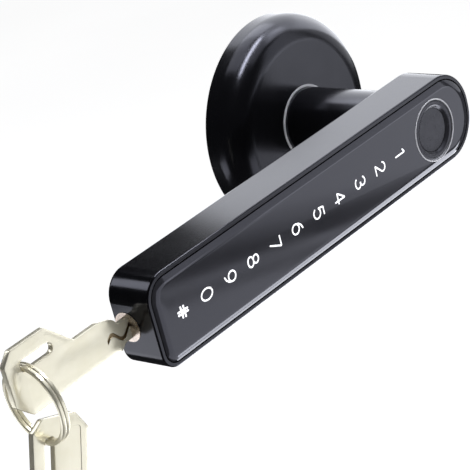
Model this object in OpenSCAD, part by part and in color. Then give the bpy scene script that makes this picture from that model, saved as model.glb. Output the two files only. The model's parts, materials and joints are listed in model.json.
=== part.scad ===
// Outside half of a lever lock with a touch panel, a fingerprint sensor and an emergency key.
// Millimetres. The door's face is the plane y = 0 and the outside is -Y. The rose, the neck and the
// spindle share the Y axis. The lever lies along X: its sensor end at +X, its key end at -X.

/* [View] */
// node to draw

/* [Rose] */
// outside diameter
rose_d = 65; // [55:0.5:75]
// depth from the door to the front face
rose_h = 12; // [9:0.5:20]
// rounding of the front edge
rose_edge = 8.2; // [2:0.1:9]
// wall of the cover
rose_wall = 1.5; // [1:0.1:2.5]

/* [Neck] */
// outside diameter
neck_d = 20.8; // [18:0.1:26]
// bore that holds the motor and the clutch
neck_bore_d = 16.8; // [12:0.1:20]
// diameter of the spigot that turns in the rose
spigot_d = 16; // [14:0.1:18]

/* [Lever] */
// length over both ends
lever_length = 141.5; // [110:0.5:170]
// height of the front
lever_height = 26; // [20:0.1:35]
// thickness without the panel
lever_depth = 14.6; // [12:0.1:20]
// distance from the door to the front rim
lever_front = 58.4; // [50:0.1:75]
// from the turning axis to the sensor end
sensor_overhang = 19.7; // [12:0.1:30]
// radius of the key end's upper corner
key_end_r = 7.2; // [4.2:0.1:12]
// radius of the key end's lower corner
key_end_low_r = 5.2; // [4.2:0.1:12]
// corner radius at the sensor end
sensor_end_r = 12.3; // [2:0.1:12.8]
// wall of the casting
lever_wall = 1.15; // [1:0.05:3]

/* [Panel] */
// dark line between panel and rim
panel_gap = 0.4; // [0.2:0.05:1]
// thickness of the panel
panel_t = 1.8; // [1:0.1:3]
// how far the panel stands out of the rim
panel_proud = 0.6; // [0:0.1:1.5]
// width of the sloping edge
panel_bevel = 2.4; // [0.5:0.1:2.6]
// distance between digits
digit_pitch = 9.54; // [8:0.01:12]
// first digit, left of the turning axis
first_digit = 16.1; // [12:0.1:24]

/* [Fingerprint sensor] */
// outside diameter of the light ring
ring_d = 18.4; // [14:0.1:20]
// diameter of the touch face
sensor_d = 12.8; // [10:0.1:15]
// depth of the touch face below the panel
sensor_depth = 0.9; // [0.2:0.1:1.5]

/* [Key cylinder] */
// diameter of the housing
cylinder_d = 8.4; // [8:0.1:9]
// diameter of the plug
plug_d = 7; // [6:0.1:7.4]
// length of the housing
cylinder_len = 23; // [18:0.5:30]
// turn of the plug for the key, degrees
plug_turn = 90; // [60:1:120]

/* [Key] */
// thickness
key_t = 1.75; // [1.5:0.05:2]
// blade height
blade_h = 5.8; // [5:0.1:6]
// length of blade in the plug
blade_in = 20.5; // [16:0.5:24]
// bow length
bow_len = 22.9; // [18:0.1:30]
// tilt at which the spare key hangs from its slot, degrees
spare_tilt = 19; // [0:0.5:40]

/* [Clutch] */
// travel of the clutch pin
clutch_travel = 2.4; // [1.5:0.1:3]
// side of the square spindle
spindle_side = 8; // [7:0.1:9]
// how far the spindle reaches into the door
spindle_out = 18; // [10:1:20]

/* [Mounting] */
// distance between the two fixing screws
post_spacing = 38; // [34:1:44]
// thread core of the fixing posts
post_core_d = 4.2; // [3:0.1:5]

/* [Hidden] */
$fn = 96;
eps = 0.01;

x_key = sensor_overhang - lever_length;      // key end face
y_rim = -lever_front;                        // front rim
y_back = y_rim + lever_depth;                // back of the lever
half_h = lever_height / 2;
back_wall = 1.5;
y_floor = y_back - back_wall;                // inside face of the back wall
y_panel = y_rim - panel_proud;               // front of the panel
y_panel_back = y_panel + panel_t;
inset = lever_wall + panel_gap;              // from the outline to the panel
sensor_x = 1.1;
sensor_z = -0.6;

spring_leg = 10;                             // angle from the lug's middle to each leg of the return spring

// electronics
board_y = y_panel_back + 2.2;                // front of the circuit board
board_t = 1.2;
seat_inset = 2.6;                            // inner edge of the ledge that carries the panel
board_screw_places = [[-92, 8.6], [-92, -8.6], [-20, 8.6], [-20, -8.6]];
cable_r = 1.1;
cable_top = board_y + board_t + 1.2;

// key cylinder axis
cyl_y = y_rim + 9.7;
cyl_z = -0.5;
x_face = x_key - 0.15;
wafer_first = 5;
wafer_step = 3.4;

// clutch, all on the +Z side of the axis
pin_z = 4.6;
y_hub = -18.4;                               // front of the hub
y_step = -14;                                // where the neck bore narrows to the spigot bore
hub_r = 6.6;
cam_base_r = clutch_travel / (plug_turn * PI / 180);
cam_rest = 2.5;                              // lift of the cam at rest

// key outline, measured along the key from the cylinder's face and up from the blade's middle
shank_len = 18.4;
shank_top = 6.5;
shank_low = -4.4;
bow_top = 14.25;
slot_low = 7.25;
slot_w = 3;
slot_end = 36.6;
slot_len = 11.2;
plate_y = -4.5;                              // front of the mounting plate
grub_y = -3.15;                              // the screw that holds the cover on the plate

// ring on the key
ring_r = 11.2;
ring_yaw = -5;                               // the ring hangs a little turned in the slot
ring_wire = 1.2;
ring_x = x_key - slot_end + 1.7;
ring_top = cyl_z + slot_low + 0.3;           // underside of the wire in the slot
ring_z = ring_top - (ring_r - ring_wire);
spare_z = ring_z - ring_r + ring_wire / 2;   // middle of the wire at the ring's lowest point

black = [0.05, 0.05, 0.055];
glass = [0.09, 0.09, 0.1];
steel = [0.72, 0.73, 0.75];
nickel = [0.8, 0.77, 0.68];
brass = [0.75, 0.6, 0.3];
board = [0.05, 0.3, 0.15];
rubber = [0.03, 0.03, 0.03];
milk = [0.92, 0.92, 0.9];

// ---- helpers ----

// round bar along Y from y0 to y1
module ycyl(r, y0, y1, x = 0, z = 0) {
  translate([x, y0, z]) rotate([-90, 0, 0]) cylinder(r = r, h = y1 - y0);
}

// round bar along X from x0 to x1
module xcyl(r, x0, x1, y, z) {
  translate([x0, y, z]) rotate([0, 90, 0]) cylinder(r = r, h = x1 - x0);
}

// round bar along Z from z0 to z1
module zcyl(r, z0, z1, x, y) {
  translate([x, y, z0]) cylinder(r = r, h = z1 - z0);
}

// block between two corners
module block(a, b) {
  translate(a) cube(b - a);
}

// prism of an outline in X and Z, from y0 to y1
module yprism(y0, y1) {
  translate([0, y1, 0]) rotate([90, 0, 0]) linear_extrude(y1 - y0) children();
}

// turned part about the Y axis; the outline is radius and y
module yturn(x = 0, z = 0) {
  translate([x, 0, z]) rotate([-90, 0, 0]) rotate_extrude() children();
}

// ring between two radii
module yring(r0, r1, y0, y1, x = 0, z = 0) {
  difference() {
    ycyl(r1, y0, y1, x, z);
    ycyl(r0, y0 - 1, y1 + 1, x, z);
  }
}

// radius of the key end's corners, upper for s = 1 and lower for s = -1
function end_r(s) = s > 0 ? key_end_r : key_end_low_r;

// lever outline, set in by d
module outline(d) {
  rs = sensor_end_r - d;
  x0 = x_key + d;
  x1 = sensor_overhang - d;
  h = half_h - d;
  for (s = [-1, 1]) {
    rk = end_r(s) - d;
    translate([x0 + rk, s > 0 ? -eps : -h]) square([x1 - rs - x0 - rk, h + eps]);
    translate([x0, s > 0 ? -eps : rk - h]) square([rk + 1, h - rk + eps]);
    translate([x0 + rk, s * (h - rk)]) circle(rk);
    translate([x1 - rs, s * (h - rs)]) circle(rs);
  }
  translate([x1 - rs - 1, -h + rs]) square([rs + 1, 2 * h - 2 * rs]);
}

// section w wide each way from y0 to y1. The back corners are rounded by b, and the front corners by f,
// or where a bevel is given they slope over its width and the depth f
module edge_section(w, y0, y1, f, b, bevel) {
  translate([-w, y0 + f]) square([2 * w, y1 - y0 - f - b]);
  translate([-w + b, y1 - b - eps]) square([2 * w - 2 * b, b + eps]);
  for (s = [-1, 1]) translate([s * (w - b), y1 - b]) circle(b);
  if (bevel > 0) {
    polygon([[-w, y0 + f + eps], [-w, y0 + f], [-w + bevel, y0], [w - bevel, y0], [w, y0 + f],
      [w, y0 + f + eps]]);
  } else {
    translate([-w + f, y0]) square([2 * w - 2 * f, f + eps]);
    for (s = [-1, 1]) translate([s * (w - f), y0 + f]) circle(f);
  }
}

// turned corner of a soft slab
module corner_disc(r, x, z, y0, y1, f, b, bevel) {
  yturn(x, z) intersection() {
    edge_section(r, y0, y1, f, b, bevel);
    translate([0, y0 - 1]) square([r + 1, y1 - y0 + 2]);
  }
}

// slab with the lever's outline set in by d, its front and back edges rounded
module soft_slab(d, y0, y1, f, b, bevel = 0) {
  rs = sensor_end_r - d;
  x0 = x_key + d;
  x1 = sensor_overhang - d;
  h = half_h - d;
  mid = (x0 + x1) / 2;
  for (s = [-1, 1]) {
    rk = end_r(s) - d;
    corner_disc(rk, x0 + rk, s * (h - rk), y0, y1, f, b, bevel);
    corner_disc(rs, x1 - rs, s * (h - rs), y0, y1, f, b, bevel);
    // upper and lower long side
    translate([x0 + rk, 0, 0]) rotate([90, 0, 90]) linear_extrude(x1 - rs - x0 - rk)
      intersection() {
        mirror([1, -1]) edge_section(h, y0, y1, f, b, bevel);
        translate([y0 - 1, s > 0 ? -eps : -h - 1]) square([y1 - y0 + 2, h + 1 + eps]);
      }
    // key end, upper and lower part
    translate([0, 0, s > 0 ? -eps : rk - h]) linear_extrude(h - rk + eps) intersection() {
      translate([mid, 0]) edge_section(mid - x0, y0, y1, f, b, bevel);
      translate([x0 - 1, y0 - 1]) square([rk + 1 + eps, y1 - y0 + 2]);
    }
  }
  // sensor end
  translate([0, 0, rs - h]) linear_extrude(2 * (h - rs)) intersection() {
    translate([mid, 0]) edge_section(x1 - mid, y0, y1, f, b, bevel);
    translate([x1 - rs - eps, y0 - 1]) square([rs + 1, y1 - y0 + 2]);
  }
}

// round wire along a path that never runs along the direction up
module wire(path, r, m = 8, up = [0, 1, 0]) {
  n = len(path) - 1;
  pts = [for (i = [0 : n]) for (k = [0 : m - 1])
    let(
      t = path[min(i + 1, n)] - path[max(i - 1, 0)],
      side = cross(t, up) / norm(cross(t, up)),
      rise = cross(side, t) / norm(t)
    ) path[i] + r * cos(360 * k / m) * side + r * sin(360 * k / m) * rise];
  sides = [for (i = [0 : n - 1]) for (k = [0 : m - 1])
    [i * m + k, i * m + (k + 1) % m, (i + 1) * m + (k + 1) % m, (i + 1) * m + k]];
  start = [for (k = [m - 1 : -1 : 0]) k];
  end = [for (k = [0 : m - 1]) n * m + k];
  polyhedron(pts, concat([start], sides, [end]), convexity = 6);
}

// points of a coil about the Y axis, n to a turn
function coil(r, y0, pitch, from, turns, n) = [for (i = [0 : round(turns * n)])
  let(a = from + 360 * i / n) [r * cos(a), y0 + pitch * i / n, r * sin(a)]];

// ---- rose ----

// half section of a disc with a rounded front edge, open towards +Y by more
module rose_section(r, h, e, more = 0) {
  translate([0, -h + e]) square([r, h - e + more]);
  translate([0, -h]) square([r - e, e + eps]);
  intersection() {
    translate([r - e, -h + e]) circle(e);
    translate([r - e - eps, -h]) square(e + eps);
  }
}

module rose_cover() {
  r = rose_d / 2;
  color(black) difference() {
    yturn() difference() {
      rose_section(r, rose_h, rose_edge);
      rose_section(r - rose_wall, rose_h - rose_wall, rose_edge - rose_wall, 1);
    }
    ycyl(neck_d / 2 + 0.75, -rose_h - 1, 0);
    zcyl(1.6, -r - 1, -r + 3, 0, grub_y);
  }
}

module neck_seal_ring() {
  color(steel) yring(neck_d / 2 + 0.08, neck_d / 2 + 0.72, -rose_h - 0.25, -rose_h + rose_wall);
}

module mounting_plate() {
  color(steel) difference() {
    union() {
      ycyl(rose_d / 2 - rose_wall - 0.1, plate_y, -1.8);
      ycyl(12.5, -8.2, plate_y);
    }
    ycyl(9.5, -9, 0);
    for (s = [-1, 1]) {
      ycyl(4, -6, 0, 0, s * post_spacing / 2);
      ycyl(1.5, -6, 0, s * 18.5, -10.7);
    }
    // relief windows beside the posts
    for (s = [-1, 1]) block([s * 22 - 3, -6, -6], [s * 22 + 3, 0, 6]);
    zcyl(1.25, -rose_d / 2, -24, 0, grub_y);
  }
}

module fixing_posts() {
  color(steel) for (s = [-1, 1]) difference() {
    union() {
      ycyl(3.98, plate_y, 10, 0, s * post_spacing / 2);
      ycyl(5, -1.8, -0.8, 0, s * post_spacing / 2);
    }
    ycyl(post_core_d / 2, -2, 11, 0, s * post_spacing / 2);
  }
}

module rose_gasket() {
  color(rubber) yring(25, rose_d / 2 - rose_wall - 0.1, -1.8, 0);
}

module cover_screw() {
  color(steel) difference() {
    union() {
      zcyl(1.2, -rose_d / 2 + 1.4, -25, 0, grub_y);
      zcyl(1.55, -rose_d / 2 + 0.3, -rose_d / 2 + 1.45, 0, grub_y);
    }
    translate([0, grub_y, -rose_d / 2]) cylinder(r = 0.8, h = 1.3, $fn = 6);
  }
}

module stop_studs() {
  color(steel) for (s = [-1, 1]) union() {
    ycyl(1.5, plate_y, -1.8, s * 18.5, -10.7);
    ycyl(2, -8.8, plate_y, s * 18.5, -10.7);
  }
}

module neck_bush() {
  color(milk) difference() {
    union() {
      ycyl(9.48, -8.2, -1.8);
      ycyl(12, -9, -8.2);
    }
    ycyl(spigot_d / 2 + 0.06, -10, 0);
  }
}

// torsion spring: its two legs grip the driver's lug from both sides
module return_spring() {
  r = 14.6;
  leg = 23.5;
  turns = 3 - 2 * spring_leg / 360;
  y0 = -8.5;
  y1 = y0 + 1.15 * turns;
  a0 = -90 + spring_leg;
  a1 = -90 - spring_leg;
  color(steel) wire(concat(
    [for (q = [leg, 20, 16]) [q * cos(a0), y0, q * sin(a0)]],
    coil(r, y0, 1.15, a0, turns, 24),
    [for (q = [16, 20, leg]) [q * cos(a1), y1, q * sin(a1)]]
  ), 0.52);
}

module spring_driver() {
  color(steel) difference() {
    union() {
      ycyl(13, -10.3, -9.2);
      block([-2.6, -10.3, -22], [2.6, -9.2, -10]);
      block([-2.6, -9.3, -22], [2.6, -5.2, -20.8]);
    }
    difference() {
      ycyl(spigot_d / 2 + 0.03, -11, -8);
      for (s = [-1, 1]) block([s * 8 - 0.8, -11, -9], [s * 8 + 0.8, -8, 9]);
    }
  }
}

module retaining_ring() {
  color(steel) difference() {
    yring(7.3, 9.3, -1.7, -0.75);
    block([-1.5, -2, 6], [1.5, 0, 10]);
  }
}

// ---- lever ----

module lever_body() {
  spigot_r = spigot_d / 2;
  color(black) difference() {
    union() {
      soft_slab(0, y_rim, y_back, 0.5, 1.2);
      ycyl(neck_d / 2, y_back - 1, -10.4);
      ycyl(spigot_r, -10.4, 0);
    }
    // seat of the panel
    yprism(y_rim - 1, y_panel_back + 0.6) outline(lever_wall);
    // hollow for the electronics, with the key cylinder's block left solid
    difference() {
      yprism(y_rim - 1, y_floor) outline(seat_inset);
      block([x_key, cyl_y - 5, -half_h], [x_key + cylinder_len + 1, y_floor + 1, half_h]);
      for (p = board_screw_places) ycyl(2, board_y + board_t, y_floor + 1, p[0], p[1]);
    }
    for (p = board_screw_places) ycyl(0.8, board_y - 1, board_y + 5, p[0], p[1]);
    ycyl(neck_bore_d / 2, y_floor - 1, y_step);
    ycyl(hub_r + 0.06, y_step - 1, 1);
    xcyl(cylinder_d / 2 + 0.02, x_key - 1, x_key + cylinder_len + 2, cyl_y, cyl_z);
    zcyl(1.25, -half_h - 1, cyl_z - 3, x_key + 10, cyl_y);
    // flats that carry the spring driver, and the groove of the retaining ring
    for (s = [-1, 1]) difference() {
      block([s * 8 - 0.8, -10.4, -9], [s * 8 + 0.8, 1, 9]);
      block([s * 8 - 0.8, -9.1, -9], [s * 8 + 0.8, 1, 9]);
    }
    yring(7.2, 9, -1.75, -0.7);
  }
}

module touch_panel() {
  color(glass) difference() {
    soft_slab(inset, y_panel, y_panel_back, panel_proud, 0.2, panel_bevel);
    ycyl(ring_d / 2 + 0.05, y_panel - 1, y_panel_back + 1, sensor_x, sensor_z);
  }
}

module panel_gasket() {
  color(rubber) yprism(y_panel_back, y_panel_back + 0.6) difference() {
    outline(lever_wall + 0.02);
    outline(seat_inset + 0.3);
  }
}

module light_ring() {
  color(milk) yring(ring_d / 2 - 0.4, ring_d / 2, y_panel - 0.1, y_panel_back, sensor_x, sensor_z);
}

// its inner wall slopes down to the touch face
module sensor_bezel() {
  r0 = sensor_d / 2 + 0.05;
  r1 = ring_d / 2 - 0.45;
  color(glass) yturn(sensor_x, sensor_z) polygon([[r0, y_panel_back + 0.3], [r1, y_panel_back + 0.3],
    [r1, y_panel - 0.05], [r0 + 0.9, y_panel - 0.05], [r0, y_panel + sensor_depth]]);
}

module fingerprint_sensor() {
  color(glass) union() {
    ycyl(sensor_d / 2, y_panel + sensor_depth, y_panel_back + 0.9, sensor_x, sensor_z);
    ycyl(ring_d / 2 - 1.5, y_panel_back + 0.32, board_y, sensor_x, sensor_z);
  }
}

module light_guide() {
  y1 = board_y - 0.05;
  color(milk) difference() {
    block([x_key + 5, y_panel_back + 0.02, -6.8], [-first_digit + 5, y1, 6.8]);
    for (i = [0 : 10]) block([-first_digit - i * digit_pitch - 2, y_panel_back + 0.6, -3],
      [-first_digit - i * digit_pitch + 2, y1 + 1, 3]);
  }
}

module backlight_lamps() {
  color([1, 1, 0.9]) for (i = [0 : 10]) {
    x = -first_digit - i * digit_pitch;
    block([x - 0.8, board_y - 0.6, -0.4], [x + 0.8, board_y, 0.4]);
  }
}

module circuit_board() {
  color(board) difference() {
    block([x_key + key_end_r + 0.2, board_y, -10.1],
      [sensor_overhang - sensor_end_r + 1, board_y + board_t, 10.1]);
    for (p = board_screw_places) ycyl(1.1, board_y - 1, board_y + 2, p[0], p[1]);
  }
}

module control_chips() {
  y0 = board_y + board_t;
  color([0.1, 0.1, 0.1]) {
    block([-78, y0, -4], [-70, y0 + 0.9, 4]);
    block([-62, y0, 2], [-57, y0 + 0.9, 7]);
    block([-50, y0, -8], [-44, y0 + 0.9, -4]);
    block([-40, y0, 3], [-35, y0 + 1, 6]);
    block([-86, y0, -7], [-83, y0 + 1.2, -4]);
  }
}

module board_connector() {
  y0 = board_y + board_t;
  color(milk) difference() {
    block([-5.5, y0, -8.8], [0.5, y0 + 3, -3.6]);
    block([-4.4, y0 + 1, -7.8], [-0.6, y0 + 4, -4.6]);
  }
}

module board_screws() {
  color(steel) for (p = board_screw_places) union() {
    ycyl(0.8, board_y, board_y + 4, p[0], p[1]);
    ycyl(1.6, board_y - 0.8, board_y, p[0], p[1]);
  }
}

// the cable runs on the turning axis, so the lever only twists it, and bends aside to the board
cable_path = concat(
  [[0, spindle_out + 2, 0]],
  [for (i = [0 : 12]) let(u = i / 12, e = (1 - cos(180 * u)) / 2) [-2.5 * e, -27 - 15 * u, -6.2 * e]],
  [[-2.5, cable_top, -6.2]]
);

module signal_cable() {
  color(rubber) wire(cable_path, cable_r, 10, [1, 0, 0]);
}

module cable_plug() {
  color(milk) difference() {
    block([-2.6, spindle_out + 0.4, -1.8], [2.6, spindle_out + 2.4, 1.8]);
    ycyl(cable_r + 0.02, 0, spindle_out + 2.05);
  }
}

// ---- clutch ----

module clutch_motor() {
  color(steel) ycyl(3, -42, -32, 0, pin_z);
}

module motor_leads() {
  color(rubber) for (s = [-1, 1]) ycyl(0.4, board_y + board_t, -42, s * 1.2, pin_z + 2.2);
}

module motor_clamp() {
  color(milk) difference() {
    ycyl(neck_bore_d / 2 - 0.02, -40, -37);
    ycyl(3.02, -41, -36, 0, pin_z);
    block([-9, -41, -9], [9, -36, 1]);
    block([3.2, -41, 2.9], [5.6, -36, 6.2]);
  }
}

module motor_shaft() {
  color(steel) ycyl(0.5, -32, -29, 0, pin_z);
}

module clutch_spring() {
  color(steel) translate([0, 0, pin_z]) wire(coil(1.3, -31.5, 1.1, 0, 4, 20), 0.28);
}

module clutch_guide() {
  color(milk) difference() {
    ycyl(neck_bore_d / 2 - 0.02, -22.2, -19.2);
    ycyl(1.55, -23, -18, 0, pin_z);
    ycyl(cable_r + 0.4, -23, -18);
  }
}

module clutch_pin() {
  color(steel) ycyl(1.5, -25.5, y_hub - 0.3, 0, pin_z);
}

module clutch_carriage() {
  color(brass) difference() {
    union() {
      block([-1.9, -26.5, 3], [5.2, -24.9, 6.1]);
      block([3.5, cyl_y + cam_rest + 0.02, 3.2], [5.2, -24.9, 5.8]);
      block([-3.6, cyl_y + cam_rest + 0.02, -4.4], [5.2, cyl_y + cam_rest + 1, 5.8]);
    }
    ycyl(1.5, -25.5, -20, 0, pin_z);
  }
}

module clutch_hub() {
  s = spindle_side / 2;
  color(steel) difference() {
    union() {
      ycyl(8, y_hub, y_step - 0.3);
      ycyl(hub_r, y_step - 0.4, -1.2);
    }
    block([-s - 0.02, -15.2, -s - 0.02], [s + 0.02, 0, s + 0.02]);
    ycyl(cable_r + 0.4, -19, 0);
    ycyl(1.6, y_hub - 1, y_hub + 3, 0, pin_z);
    xcyl(1, -9, 9, -8, 0);
  }
}

module drive_spindle() {
  s = spindle_side / 2;
  color(steel) difference() {
    block([-s, -15.2, -s], [s, spindle_out, s]);
    ycyl(cable_r + 0.4, -16, spindle_out + 1);
    xcyl(1, -9, 9, -8, 0);
  }
}

module spindle_pin() {
  color(steel) for (s = [-1, 1]) xcyl(1, s > 0 ? 2 : -6.3, s > 0 ? 6.3 : -2, -8, 0);
}

// ---- key cylinder ----

module cylinder_housing() {
  color(nickel) difference() {
    xcyl(cylinder_d / 2, x_face, x_face + cylinder_len, cyl_y, cyl_z);
    xcyl(plug_d / 2 + 0.05, x_face - 1, x_face + cylinder_len + 1, cyl_y, cyl_z);
    zcyl(1.25, cyl_z - 6, cyl_z - 3.9, x_key + 10, cyl_y);
  }
}

module cylinder_screw() {
  color(steel) difference() {
    zcyl(1.2, -half_h + 0.6, cyl_z - 3.95, x_key + 10, cyl_y);
    translate([x_key + 10, cyl_y, -half_h]) cylinder(r = 0.7, h = 1.8, $fn = 6);
  }
}

module key_plug() {
  h = blade_h / 2 + 0.05;
  t = key_t / 2 + 0.05;
  color(nickel) difference() {
    xcyl(plug_d / 2, x_face, x_face + cylinder_len + 1.6, cyl_y, cyl_z);
    block([x_face - 1, cyl_y - t, cyl_z - h], [x_face + blade_in + 0.8, cyl_y + t, cyl_z + h]);
    for (i = [0 : 4]) block([x_face + wafer_first + i * wafer_step - 0.55, cyl_y - 4, cyl_z - 1.6],
      [x_face + wafer_first + i * wafer_step + 0.55, cyl_y - t + eps, cyl_z + 1.6]);
    difference() {
      xcyl(5, x_face + cylinder_len + 0.2, x_face + cylinder_len + 0.9, cyl_y, cyl_z);
      xcyl(2.8, x_face + cylinder_len, x_face + cylinder_len + 1, cyl_y, cyl_z);
    }
    xcyl(1.5, x_face + cylinder_len - 1, x_face + cylinder_len + 3, cyl_y, cyl_z);
  }
}

module key_wafers() {
  color(brass) for (i = [0 : 4]) {
    x = x_face + wafer_first + i * wafer_step;
    dz = 0.4 * sin(i * 100);
    block([x - 0.45, cyl_y - 3.05, cyl_z + dz - 0.9],
      [x + 0.45, cyl_y - key_t / 2 - 0.08, cyl_z + dz + 0.7]);
  }
}

module wafer_springs() {
  color(steel) for (i = [0 : 4]) {
    x = x_face + wafer_first + i * wafer_step;
    dz = 0.4 * sin(i * 100);
    zcyl(0.3, cyl_z + dz + 0.7, cyl_z + 1.6, x, cyl_y - 2);
  }
}

module plug_clip() {
  x = x_face + cylinder_len + 0.25;
  color(steel) difference() {
    xcyl(4, x, x + 0.6, cyl_y, cyl_z);
    xcyl(2.82, x - 1, x + 1, cyl_y, cyl_z);
    block([x - 1, cyl_y - 5, cyl_z - 1.6], [x + 1, cyl_y, cyl_z + 1.6]);
  }
}

module cam_rod() {
  color(steel) xcyl(1.5, x_face + cylinder_len - 0.9, 8, cyl_y, cyl_z);
}

// the follower lifts by the same amount for each degree because the cam is an involute
function involute(t) = cam_base_r * [cos(t * 180 / PI) + t * sin(t * 180 / PI),
  sin(t * 180 / PI) - t * cos(t * 180 / PI)];

module override_cam() {
  t0 = (cam_rest - 0.03) / cam_base_r;
  t1 = t0 + plug_turn * PI / 180;
  n = 18;
  color(brass) translate([2.2, cyl_y, cyl_z]) rotate([0, 90, 0]) difference() {
    linear_extrude(2) rotate(180 - t0 * 180 / PI) union() {
      circle(2.2);
      polygon(concat([[0, 0]], [for (i = [0 : n]) involute(t0 + (t1 - t0) * i / n)]));
    }
    translate([0, 0, -1]) cylinder(r = 1.5, h = 4);
  }
}

module rod_supports() {
  color(milk) for (x = [-62, -16]) difference() {
    block([x, cyl_y - 2.6, cyl_z - 3], [x + 3, y_floor, cyl_z + 3]);
    xcyl(1.55, x - 1, x + 4, cyl_y, cyl_z);
  }
}

// ---- keys ----

// flat key in X and Z: the blade points along +X and starts at x = 0, its middle at z = 0
module key_outline() {
  h = blade_h / 2;
  r = 1.2;
  end = shank_len + bow_len;
  difference() {
    polygon([[blade_in - 1.6, h], [blade_in, h - 1.8], [blade_in, -h + 1.8], [blade_in - 1.6, -h],
      [-2.6, -h], [-4.6, shank_low], [-end + 4.6, shank_low], [-end, shank_low + 4.4],
      [-end, bow_top - 3.1], [-end + 3.1, bow_top], [-end + 15, bow_top], [-shank_len, shank_top],
      [-10, shank_top], [-6.8, shank_top - 0.7], [-4.8, shank_top - 1.7], [-3.4, h], [0, h]]);
    translate([-slot_end, slot_low]) slot_outline();
  }
}

// slot in the bow, squarer at the end where the ring hangs
module slot_outline() {
  c = 0.8;
  translate([c, 0]) square([slot_len - slot_w / 2 - c, slot_w]);
  translate([0, c]) square([c + eps, slot_w - 2 * c]);
  for (z = [c, slot_w - c]) translate([c, z]) circle(c);
  translate([slot_len - slot_w / 2, slot_w / 2]) circle(slot_w / 2);
}

// wavy track milled in the blade's face
module key_track() {
  n = 45;
  w = 0.65;
  track = [for (i = [0 : n]) [-8.5 + 0.6 * i, 1.3 * sin(i * 30)]];
  polygon(concat([for (p = track) p + [0, w]], [for (i = [n : -1 : 0]) track[i] - [0, w]]));
}

module flat_key() {
  difference() {
    yprism(-key_t / 2, key_t / 2) key_outline();
    for (s = [0, 1]) mirror([0, s, 0]) yprism(key_t / 2 - 0.4, key_t / 2 + 1) key_track();
    // shallow channel along one face
    block([3.5 - shank_len - bow_len, key_t / 2 - 0.15, -1.7], [-6, key_t / 2 + 1, 2.3]);
  }
}

module key() {
  color(nickel) translate([x_key, cyl_y, cyl_z]) flat_key();
}

module split_ring() {
  w = 0.6;
  m = ring_r - ring_wire / 2;
  color(nickel) translate([ring_x, cyl_y, ring_z]) rotate([0, 0, ring_yaw]) difference() {
    union() {
      for (s = [-1, 1]) translate([s * 0.58, 0, 0]) rotate([0, 90, 0])
        rotate_extrude() translate([m, 0]) union() {
          square([ring_wire, 2 * w - 0.5], center = true);
          square([ring_wire - 0.5, 2 * w], center = true);
          for (a = [-1, 1], b = [-1, 1])
            translate([a * (ring_wire / 2 - 0.25), b * (w - 0.25)]) circle(0.25);
        }
    }
    // the two free ends of the coil
    for (s = [-1, 1]) rotate([s * 12 - 55, 0, 0])
      block([s > 0 ? 0.02 : -2, -0.35, ring_r - 2], [s > 0 ? 2 : -0.02, 0.35, ring_r + 1]);
  }
}

module spare_key() {
  color(nickel) translate([ring_x, cyl_y, spare_z]) rotate([0, 90 + spare_tilt, 0])
    rotate([180, 0, 0]) translate([slot_end - 1.15, 0, -slot_low - slot_w / 2]) flat_key();
}

rose_cover();
neck_seal_ring();
mounting_plate();
fixing_posts();
rose_gasket();
cover_screw();
stop_studs();
neck_bush();
return_spring();
spring_driver();
retaining_ring();
lever_body();
touch_panel();
panel_gasket();
light_ring();
sensor_bezel();
fingerprint_sensor();
light_guide();
backlight_lamps();
circuit_board();
control_chips();
board_connector();
board_screws();
signal_cable();
cable_plug();
clutch_motor();
motor_clamp();
motor_leads();
motor_shaft();
clutch_spring();
clutch_guide();
clutch_pin();
clutch_carriage();
clutch_hub();
drive_spindle();
spindle_pin();
cylinder_housing();
cylinder_screw();
key_plug();
key_wafers();
wafer_springs();
plug_clip();
cam_rod();
override_cam();
rod_supports();
key();
split_ring();
spare_key();
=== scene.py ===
import json
import math

import bmesh
import bpy
from mathutils import Matrix, Vector


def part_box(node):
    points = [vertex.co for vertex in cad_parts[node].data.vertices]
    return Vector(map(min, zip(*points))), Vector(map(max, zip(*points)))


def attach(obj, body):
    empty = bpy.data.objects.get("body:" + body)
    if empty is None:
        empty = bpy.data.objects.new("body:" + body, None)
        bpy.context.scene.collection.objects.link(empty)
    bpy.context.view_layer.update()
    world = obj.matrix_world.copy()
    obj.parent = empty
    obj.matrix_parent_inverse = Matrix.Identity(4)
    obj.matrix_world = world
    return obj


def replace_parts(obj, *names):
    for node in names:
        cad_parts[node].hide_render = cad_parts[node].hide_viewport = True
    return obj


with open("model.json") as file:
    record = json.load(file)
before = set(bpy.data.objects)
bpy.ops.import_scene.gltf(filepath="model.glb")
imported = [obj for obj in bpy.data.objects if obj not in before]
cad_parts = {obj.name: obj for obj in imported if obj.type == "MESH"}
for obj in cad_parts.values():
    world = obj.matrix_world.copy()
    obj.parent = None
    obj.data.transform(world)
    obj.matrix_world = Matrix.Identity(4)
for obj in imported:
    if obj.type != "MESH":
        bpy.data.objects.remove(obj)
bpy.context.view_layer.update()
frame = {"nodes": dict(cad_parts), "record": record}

MM = 0.001
WELD = 1e-4  # points closer than this become one, mm
SAME_POINT = 1e-6  # shorter than this counts as no length, mm
SHARP_ANGLE = 35.0  # edges bent more than this stay sharp, degrees
TURNED_STEPS = 160  # points round a turned piece


def box_mm(node):
    """Lowest and highest corner of a CAD node in millimetres."""
    lo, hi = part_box(node)
    return lo / MM, hi / MM


# ---- mesh helpers, all in millimetres ----


def add_piece(mesh, work, material, body, sharp):
    """Writes a bmesh in metres into the mesh and makes it a piece that rides on a CAD body."""
    for face in work.faces:
        face.smooth = True
    work.to_mesh(mesh)
    work.free()
    mesh.set_sharp_from_angle(angle=math.radians(sharp))
    piece = bpy.data.objects.new(mesh.name, mesh)
    bpy.context.scene.collection.objects.link(piece)
    mesh.materials.append(material)
    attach(piece, body)
    return piece


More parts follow.
